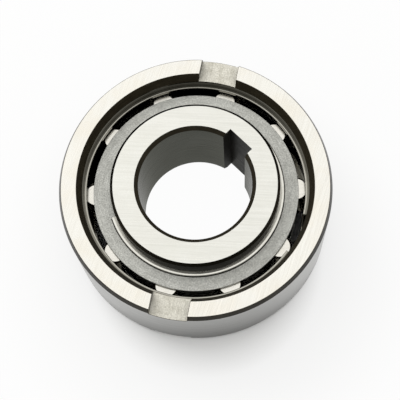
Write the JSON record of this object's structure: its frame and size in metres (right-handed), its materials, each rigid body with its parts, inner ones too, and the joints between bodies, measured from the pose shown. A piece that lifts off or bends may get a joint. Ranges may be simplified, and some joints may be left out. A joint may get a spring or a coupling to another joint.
{
  "type": "roller ramp freewheel clutch",
  "caption": "One-way clutch: a keyed inner ring with sprung rollers on ramps turns freely one way in a slotted outer ring and locks to it the other way.",
  "frame": {"origin": "on the shaft axis, in the plane of the lower end faces of both rings", "axes": "+Z along the shaft axis towards the upper end face; the driving slots lie on the Y axis"},
  "size_m": [0.072, 0.072, 0.0278],
  "materials": {
    "ground_bearing_steel": "ground, bright",
    "spring_steel": "drawn, semi-bright",
    "phosphated_steel": "matt grey",
    "polished_roller_steel": "lapped, bright",
    "plunger_steel": "ground",
    "spring_wire": "drawn wire"
  },
  "bodies": {
    "outer_ring": {"outer_ring": "ground_bearing_steel", "outer_snap_ring_top": "spring_steel", "outer_snap_ring_bottom": "spring_steel"},
    "inner_ring": {"inner_ring": "ground_bearing_steel", "side_disc_top": "phosphated_steel", "side_disc_bottom": "phosphated_steel", "inner_snap_ring_top": "spring_steel", "inner_snap_ring_bottom": "spring_steel", "spring_01": "spring_wire", "spring_02": "spring_wire", "spring_03": "spring_wire", "spring_04": "spring_wire", "spring_05": "spring_wire", "spring_06": "spring_wire", "spring_07": "spring_wire", "spring_08": "spring_wire", "spring_09": "spring_wire", "spring_10": "spring_wire"},
    "plunger_01": {"plunger_01": "plunger_steel"},
    "roller_01": {"roller_01": "polished_roller_steel"},
    "plunger_02": {"plunger_02": "plunger_steel"},
    "roller_02": {"roller_02": "polished_roller_steel"},
    "plunger_03": {"plunger_03": "plunger_steel"},
    "roller_03": {"roller_03": "polished_roller_steel"},
    "plunger_04": {"plunger_04": "plunger_steel"},
    "roller_04": {"roller_04": "polished_roller_steel"},
    "plunger_05": {"plunger_05": "plunger_steel"},
    "roller_05": {"roller_05": "polished_roller_steel"},
    "plunger_06": {"plunger_06": "plunger_steel"},
    "roller_06": {"roller_06": "polished_roller_steel"},
    "plunger_07": {"plunger_07": "plunger_steel"},
    "roller_07": {"roller_07": "polished_roller_steel"},
    "plunger_08": {"plunger_08": "plunger_steel"},
    "roller_08": {"roller_08": "polished_roller_steel"},
    "plunger_09": {"plunger_09": "plunger_steel"},
    "roller_09": {"roller_09": "polished_roller_steel"},
    "plunger_10": {"plunger_10": "plunger_steel"},
    "roller_10": {"roller_10": "polished_roller_steel"}
  },
  "joints": [
    {"name": "overrun", "type": "hinge", "parent": "outer_ring", "child": "inner_ring", "pos_m": [0, 0, 0.0139], "axis": [0, 0, 1], "range_deg": [0, 1170]},
    {"name": "roller_01_shift", "type": "slide", "parent": "inner_ring", "child": "plunger_01", "axis": [0.0958, -0.9954, 0], "range_m": [0, 0.0009], "stiffness_N_per_m": 580, "springref_m": -0.002, "deforming": ["spring_01"]},
    {"name": "roller_01_roll", "type": "hinge", "parent": "plunger_01", "child": "roller_01", "pos_m": [0.02608, 0.00578, 0.0139], "axis": [0, 0, 1], "range_deg": [-16, 0]},
    {"name": "roller_02_shift", "type": "slide", "parent": "inner_ring", "child": "plunger_02", "axis": [0.6626, -0.749, 0], "range_m": [0, 0.0009], "stiffness_N_per_m": 580, "springref_m": -0.002, "deforming": ["spring_02"]},
    {"name": "roller_02_roll", "type": "hinge", "parent": "plunger_02", "child": "roller_02", "pos_m": [0.0177, 0.02, 0.0139], "axis": [0, 0, 1], "range_deg": [-16, 0]},
    {"name": "roller_03_shift", "type": "slide", "parent": "inner_ring", "child": "plunger_03", "axis": [0.9763, -0.2164, 0], "range_m": [0, 0.0009], "stiffness_N_per_m": 580, "springref_m": -0.002, "deforming": ["spring_03"]},
    {"name": "roller_03_roll", "type": "hinge", "parent": "plunger_03", "child": "roller_03", "pos_m": [0.00256, 0.02659, 0.0139], "axis": [0, 0, 1], "range_deg": [-16, 0]},
    {"name": "roller_04_shift", "type": "slide", "parent": "inner_ring", "child": "plunger_04", "axis": [0.9171, 0.3987, 0], "range_m": [0, 0.0009], "stiffness_N_per_m": 580, "springref_m": -0.002, "deforming": ["spring_04"]},
    {"name": "roller_04_roll", "type": "hinge", "parent": "plunger_04", "child": "roller_04", "pos_m": [-0.01356, 0.02301, 0.0139], "axis": [0, 0, 1], "range_deg": [-16, 0]},
    {"name": "roller_05_shift", "type": "slide", "parent": "inner_ring", "child": "plunger_05", "axis": [0.5075, 0.8616, 0], "range_m": [0, 0.0009], "stiffness_N_per_m": 580, "springref_m": -0.002, "deforming": ["spring_05"]},
    {"name": "roller_05_roll", "type": "hinge", "parent": "plunger_05", "child": "roller_05", "pos_m": [-0.02449, 0.01065, 0.0139], "axis": [0, 0, 1], "range_deg": [-16, 0]},
    {"name": "roller_06_shift", "type": "slide", "parent": "inner_ring", "child": "plunger_06", "axis": [-0.0958, 0.9954, 0], "range_m": [0, 0.0009], "stiffness_N_per_m": 580, "springref_m": -0.002, "deforming": ["spring_06"]},
    {"name": "roller_06_roll", "type": "hinge", "parent": "plunger_06", "child": "roller_06", "pos_m": [-0.02608, -0.00578, 0.0139], "axis": [0, 0, 1], "range_deg": [-16, 0]},
    {"name": "roller_07_shift", "type": "slide", "parent": "inner_ring", "child": "plunger_07", "axis": [-0.6626, 0.749, 0], "range_m": [0, 0.0009], "stiffness_N_per_m": 580, "springref_m": -0.002, "deforming": ["spring_07"]},
    {"name": "roller_07_roll", "type": "hinge", "parent": "plunger_07", "child": "roller_07", "pos_m": [-0.0177, -0.02, 0.0139], "axis": [0, 0, 1], "range_deg": [-16, 0]},
    {"name": "roller_08_shift", "type": "slide", "parent": "inner_ring", "child": "plunger_08", "axis": [-0.9763, 0.2164, 0], "range_m": [0, 0.0009], "stiffness_N_per_m": 580, "springref_m": -0.002, "deforming": ["spring_08"]},
    {"name": "roller_08_roll", "type": "hinge", "parent": "plunger_08", "child": "roller_08", "pos_m": [-0.00256, -0.02659, 0.0139], "axis": [0, 0, 1], "range_deg": [-16, 0]},
    {"name": "roller_09_shift", "type": "slide", "parent": "inner_ring", "child": "plunger_09", "axis": [-0.9171, -0.3987, 0], "range_m": [0, 0.0009], "stiffness_N_per_m": 580, "springref_m": -0.002, "deforming": ["spring_09"]},
    {"name": "roller_09_roll", "type": "hinge", "parent": "plunger_09", "child": "roller_09", "pos_m": [0.01356, -0.02301, 0.0139], "axis": [0, 0, 1], "range_deg": [-16, 0]},
    {"name": "roller_10_shift", "type": "slide", "parent": "inner_ring", "child": "plunger_10", "axis": [-0.5075, -0.8616, 0], "range_m": [0, 0.0009], "stiffness_N_per_m": 580, "springref_m": -0.002, "deforming": ["spring_10"]},
    {"name": "roller_10_roll", "type": "hinge", "parent": "plunger_10", "child": "roller_10", "pos_m": [0.02449, -0.01065, 0.0139], "axis": [0, 0, 1], "range_deg": [-16, 0]}
  ],
  "couplings": [
    {"joint": "roller_01_roll", "follows": "roller_01_shift", "rad_per_m": -307.69},
    {"joint": "roller_02_roll", "follows": "roller_02_shift", "rad_per_m": -307.69},
    {"joint": "roller_03_roll", "follows": "roller_03_shift", "rad_per_m": -307.69},
    {"joint": "roller_04_roll", "follows": "roller_04_shift", "rad_per_m": -307.69},
    {"joint": "roller_05_roll", "follows": "roller_05_shift", "rad_per_m": -307.69},
    {"joint": "roller_06_roll", "follows": "roller_06_shift", "rad_per_m": -307.69},
    {"joint": "roller_07_roll", "follows": "roller_07_shift", "rad_per_m": -307.69},
    {"joint": "roller_08_roll", "follows": "roller_08_shift", "rad_per_m": -307.69},
    {"joint": "roller_09_roll", "follows": "roller_09_shift", "rad_per_m": -307.69},
    {"joint": "roller_10_roll", "follows": "roller_10_shift", "rad_per_m": -307.69}
  ]
}
